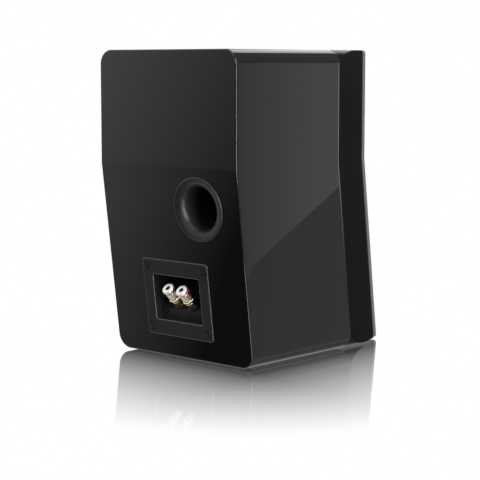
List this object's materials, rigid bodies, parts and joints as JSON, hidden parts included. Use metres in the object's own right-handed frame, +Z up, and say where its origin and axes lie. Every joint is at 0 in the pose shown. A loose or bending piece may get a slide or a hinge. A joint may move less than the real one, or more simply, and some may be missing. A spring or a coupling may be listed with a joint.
{
  "type": "bookshelf speaker",
  "caption": "Two-way bookshelf speaker with a kinked gloss cabinet, rear flared port, recessed binding posts and a pull-off cloth grille.",
  "frame": {"origin": "on the plane the feet stand on, below the middle of the whole object", "axes": "+Z up, the grille faces -Y and the port and terminals face +Y, +X is to the right seen from the front"},
  "size_m": [0.228, 0.3042, 0.377],
  "materials": {
    "basket_alloy": "black powder coat on cast alloy",
    "black_screw": "black oxide",
    "bush_plastic": "black insulating plastic",
    "component_black": "moulded component bodies",
    "cone_fibre": "woven black fibre",
    "copper_wire": "enamelled copper winding",
    "cup_plastic": "fine pebble grain black",
    "dome_metal": "bare metal dome",
    "faceplate_alloy": "satin black anodised",
    "ferrite": "sintered ferrite",
    "foot_rubber": "matte black rubber",
    "gloss_lacquer": "polished black lacquer over board",
    "gold_plate": "gold plated",
    "grille_board": "black dyed fibreboard",
    "grille_cloth": "knitted black grille cloth",
    "minus_black": "gloss black ring",
    "nickel_nut": "champagne nickel plated",
    "peg_plastic": "moulded nylon",
    "plus_red": "gloss red ring",
    "port_plastic": "satin moulded black",
    "raw_board": "bare fibreboard",
    "satin_baffle": "satin black paint over board",
    "seal_foam": "closed-cell foam",
    "spider_cloth": "resin-treated cloth",
    "surround_rubber": "satin rubber",
    "tag_board": "glass-fibre laminate",
    "wadding": "loose polyester wadding",
    "wire_sleeve": "insulated hook-up wire",
    "zinc_steel": "zinc plated"
  },
  "bodies": {
    "cabinet": {"board_screws": "black_screw", "board_standoffs": "peg_plastic", "cabinet_shell": "gloss_lacquer", "crossover_board": "tag_board", "damping_pad_side": "wadding", "damping_pad_top": "wadding", "film_capacitors": "component_black", "front_baffle": "satin_baffle", "grille_sockets": "surround_rubber", "input_wires": "wire_sleeve", "port_flare_inner": "port_plastic", "port_flare_outer": "port_plastic", "port_tube": "port_plastic", "post_hex_nuts": "gold_plate", "post_inner_washers": "bush_plastic", "post_insulators": "bush_plastic", "post_shafts": "gold_plate", "post_solder_lugs": "gold_plate", "power_resistors": "component_black", "rear_panel": "gloss_lacquer", "rubber_feet": "foot_rubber", "terminal_cup": "cup_plastic", "terminal_gasket": "seal_foam", "terminal_screws": "black_screw", "tweeter_back_plate": "zinc_steel", "tweeter_chamber": "component_black", "tweeter_faceplate": "faceplate_alloy", "tweeter_inductor": "copper_wire", "tweeter_magnet": "ferrite", "tweeter_screws": "black_screw", "tweeter_surround": "surround_rubber", "tweeter_top_plate": "zinc_steel", "tweeter_wires": "wire_sleeve", "window_brace": "raw_board", "woofer_back_plate": "zinc_steel", "woofer_basket": "basket_alloy", "woofer_gasket": "seal_foam", "woofer_inductor": "copper_wire", "woofer_magnet": "ferrite", "woofer_screws": "black_screw", "woofer_spider": "spider_cloth", "woofer_surround": "surround_rubber", "woofer_tags": "tag_board", "woofer_top_plate": "zinc_steel", "woofer_wires": "wire_sleeve"},
    "woofer_cone_set": {"woofer_cone": "cone_fibre", "woofer_dust_cap": "cone_fibre", "woofer_voice_coil": "copper_wire"},
    "tweeter_dome_set": {"tweeter_dome": "dome_metal", "tweeter_voice_coil": "copper_wire"},
    "grille": {"grille_frame": "grille_board", "grille_cloth": "grille_cloth", "grille_pegs": "peg_plastic"},
    "minus_collar_body": {"minus_clamp_collar": "gold_plate"},
    "minus_nut_body": {"minus_thumb_nut": "nickel_nut", "minus_polarity_ring": "minus_black"},
    "plus_collar_body": {"plus_clamp_collar": "gold_plate"},
    "plus_nut_body": {"plus_thumb_nut": "nickel_nut", "plus_polarity_ring": "plus_red"}
  },
  "joints": [
    {"name": "woofer_cone_slide", "type": "slide", "parent": "cabinet", "child": "woofer_cone_set", "axis": [0, -0.9924, 0.1233], "range_m": [-0.005, 0.005], "stiffness_N_per_m": 1000, "deforming": ["woofer_surround", "woofer_spider"]},
    {"name": "tweeter_dome_slide", "type": "slide", "parent": "cabinet", "child": "tweeter_dome_set", "axis": [0, -1, 0], "range_m": [-0.0005, 0.0005], "stiffness_N_per_m": 600, "deforming": ["tweeter_surround"]},
    {"name": "grille_pull", "type": "slide", "parent": "cabinet", "child": "grille", "axis": [0, -1, 0], "range_m": [0, 0.06]},
    {"name": "minus_collar_lift", "type": "slide", "parent": "cabinet", "child": "minus_collar_body", "axis": [0, 0.7071, 0.7071], "range_m": [0, 0.005]},
    {"name": "minus_nut_turn", "type": "hinge", "parent": "minus_collar_body", "child": "minus_nut_body", "pos_m": [0.0115, 0.12909, 0.08148], "axis": [0, 0.7071, 0.7071], "range_deg": [0, 1800]},
    {"name": "plus_collar_lift", "type": "slide", "parent": "cabinet", "child": "plus_collar_body", "axis": [0, 0.7071, 0.7071], "range_m": [0, 0.005]},
    {"name": "plus_nut_turn", "type": "hinge", "parent": "plus_collar_body", "child": "plus_nut_body", "pos_m": [-0.0115, 0.12909, 0.08148], "axis": [0, 0.7071, 0.7071], "range_deg": [0, 1800]}
  ],
  "couplings": [
    {"joint": "minus_nut_turn", "follows": "minus_collar_lift", "rad_per_m": 6283.2},
    {"joint": "plus_nut_turn", "follows": "plus_collar_lift", "rad_per_m": 6283.2}
  ]
}
